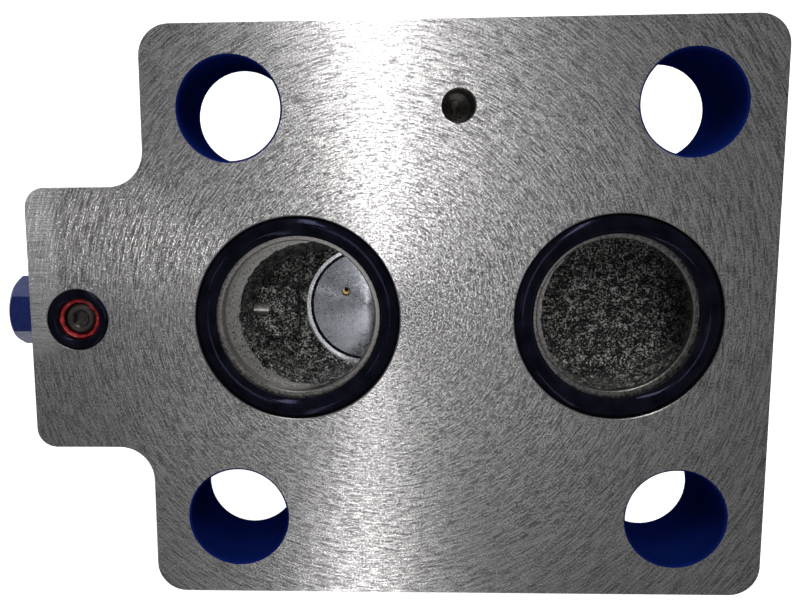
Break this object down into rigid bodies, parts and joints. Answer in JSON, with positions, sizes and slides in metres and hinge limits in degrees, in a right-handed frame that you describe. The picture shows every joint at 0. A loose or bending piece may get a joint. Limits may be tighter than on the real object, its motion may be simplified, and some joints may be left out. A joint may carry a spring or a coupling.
{
  "type": "pilot-operated cartridge relief valve",
  "caption": "Subplate-mounted hydraulic relief valve: cast body with two main ports and a tongue, seat cartridge inside, and a pilot head with an adjusting spindle.",
  "frame": {"origin": "middle of the fixing-hole pattern, on the port face", "axes": "+Z out of the port face, +X from port A to port B, +Y towards the locating hole; the valve stands on the flat end of its pilot head"},
  "size_m": [0.176, 0.115, 0.128],
  "materials": {
    "body_paint": "semi-gloss dark blue paint on cast iron, with a bare ground port face",
    "seal_rubber": "glossy black nitrile, wet with oil",
    "black_steel": "black oxide",
    "thread_sealant": "cured red sealant",
    "copper": "soft copper",
    "hardened_steel": "turned and polished",
    "spring_steel": "oiled spring wire",
    "backup_plastic": "matte",
    "brass": "turned",
    "zinc_steel": "zinc plated",
    "plate_aluminium": "satin"
  },
  "bodies": {
    "valve": {"valve_body": "body_paint", "port_a_seal": "seal_rubber", "port_b_seal": "seal_rubber", "pilot_port_seal": "seal_rubber", "pilot_port_plug": "black_steel", "pilot_port_sealant": "thread_sealant", "side_plug": "body_paint", "side_plug_washer": "copper", "cartridge_sleeve": "hardened_steel", "sleeve_nose_seal": "seal_rubber", "sleeve_upper_seal": "seal_rubber", "sleeve_backup_ring": "backup_plastic", "main_spring": "spring_steel", "pilot_housing": "body_paint", "joint_seal_main": "seal_rubber", "joint_seal_pilot": "seal_rubber", "joint_seal_drain": "seal_rubber", "head_screw_1": "black_steel", "head_screw_2": "black_steel", "head_screw_3": "black_steel", "head_screw_4": "black_steel", "locating_dowel": "hardened_steel", "pilot_seat": "hardened_steel", "pilot_spring": "spring_steel", "adjuster_bush": "zinc_steel", "adjuster_bush_washer": "copper", "supply_jet": "brass", "head_end_plug": "black_steel", "gauge_plug": "zinc_steel", "gauge_plug_washer": "copper", "name_plate": "plate_aluminium", "plate_rivet_1": "plate_aluminium", "plate_rivet_2": "plate_aluminium"},
    "poppet": {"main_poppet": "hardened_steel", "poppet_jet": "brass"},
    "cone": {"pilot_cone": "hardened_steel"},
    "spring_carrier": {"spring_plate": "zinc_steel", "spring_plate_seal": "seal_rubber"},
    "spindle": {"adjusting_spindle": "zinc_steel"},
    "nut": {"lock_nut": "zinc_steel"},
    "cap": {"protective_cap": "zinc_steel"}
  },
  "joints": [
    {"name": "poppet_lift", "type": "slide", "parent": "valve", "child": "poppet", "axis": [0, 0, -1], "range_m": [0, 0.009], "stiffness_N_per_m": 3000, "springref_m": -0.005, "deforming": ["main_spring"]},
    {"name": "cone_lift", "type": "slide", "parent": "valve", "child": "cone", "axis": [1, 0, 0], "range_m": [0, 0.0012], "stiffness_N_per_m": 2000, "springref_m": -0.004, "deforming": ["pilot_spring"]},
    {"name": "adjuster_travel", "type": "slide", "parent": "valve", "child": "spring_carrier", "axis": [-1, 0, 0], "range_m": [-0.002, 0.002], "deforming": ["pilot_spring"]},
    {"name": "adjuster_turn", "type": "hinge", "parent": "spring_carrier", "child": "spindle", "pos_m": [0.05, 0, -0.103], "axis": [-1, 0, 0], "range_deg": [-720, 720]},
    {"name": "nut_turn", "type": "hinge", "parent": "valve", "child": "nut", "pos_m": [0.0605, 0, -0.103], "axis": [1, 0, 0], "range_deg": [0, 180]},
    {"name": "cap_pull", "type": "slide", "parent": "valve", "child": "cap", "axis": [1, 0, 0], "range_m": [0, 0.03]}
  ],
  "couplings": [
    {"joint": "adjuster_turn", "follows": "adjuster_travel", "rad_per_m": 6283}
  ]
}
